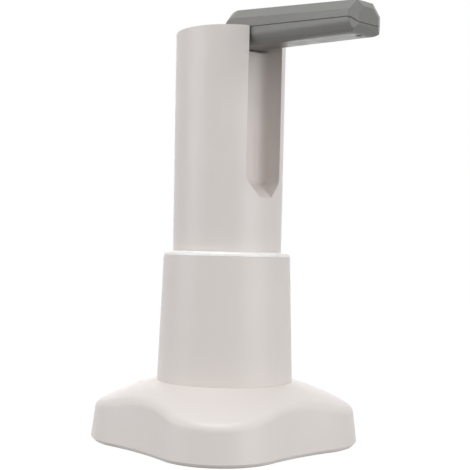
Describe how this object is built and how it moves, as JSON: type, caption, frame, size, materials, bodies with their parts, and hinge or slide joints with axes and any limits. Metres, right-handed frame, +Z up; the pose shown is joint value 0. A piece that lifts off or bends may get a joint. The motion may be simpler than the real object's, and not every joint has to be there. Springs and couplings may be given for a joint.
{
  "type": "water jug hand pump",
  "caption": "Press-type jug pump: lobed foot, tapered collar, sliding grooved column and a fold-down faceted spout.",
  "frame": {"origin": "on the column's axis, in the plane of the foot's lower edge and the neck socket's mouth", "axes": "+Z up along the column, +X the way the open spout points, +Y to the spout's left"},
  "size_m": [0.1339, 0.1036, 0.1961],
  "materials": {
    "shell_white": "satin warm off-white ABS",
    "arm_grey": "satin warm grey ABS",
    "bush_plastic": "natural acetal",
    "inner_plastic": "plain moulded",
    "barrel_clear": "translucent moulded",
    "seal_rubber": "food-grade silicone",
    "hose_rubber": "clear silicone hose",
    "nozzle_black": "dark silicone",
    "fastener_steel": "stainless",
    "ball_steel": "polished stainless",
    "rod_steel": "drawn stainless tube",
    "spring_steel": "stainless spring wire"
  },
  "bodies": {
    "base": {"base_skirt": "shell_white", "collar": "shell_white", "collar_ring": "shell_white", "guide_bush": "bush_plastic", "neck_gasket": "seal_rubber", "inlet_deck": "inner_plastic", "deck_screws": "fastener_steel", "inlet_barb": "inner_plastic", "inlet_cage": "inner_plastic", "pump_barrel": "barrel_clear", "barrel_head": "inner_plastic", "rod_seal": "seal_rubber", "return_spring": "spring_steel"},
    "column": {"column_shell": "shell_white", "column_cap": "shell_white", "outlet_carrier": "inner_plastic", "piston_rod": "rod_steel", "piston": "inner_plastic", "piston_ring": "seal_rubber", "riser_hose": "hose_rubber", "swivel_elbow": "inner_plastic", "swivel_pin": "fastener_steel", "hinge_pin": "fastener_steel"},
    "spout": {"spout_cover": "arm_grey", "spout_channel": "arm_grey", "spout_elbow": "inner_plastic", "spout_tube": "hose_rubber", "outlet_nozzle": "nozzle_black"},
    "inlet_valve": {"inlet_ball": "ball_steel"},
    "outlet_valve": {"outlet_ball": "ball_steel"}
  },
  "joints": [
    {"name": "pump_stroke", "type": "slide", "parent": "base", "child": "column", "axis": [0, 0, -1], "range_m": [0, 0.022], "stiffness_N_per_m": 500, "springref_m": -0.02, "deforming": ["return_spring"]},
    {"name": "spout_fold", "type": "hinge", "parent": "column", "child": "spout", "pos_m": [0.0165, 0, 0.183], "axis": [0, 1, 0], "range_deg": [0, 87]},
    {"name": "inlet_lift", "type": "slide", "parent": "base", "child": "inlet_valve", "axis": [0, 0, 1], "range_m": [0, 0.002]},
    {"name": "outlet_lift", "type": "slide", "parent": "column", "child": "outlet_valve", "axis": [0, 0, 1], "range_m": [0, 0.002]}
  ]
}
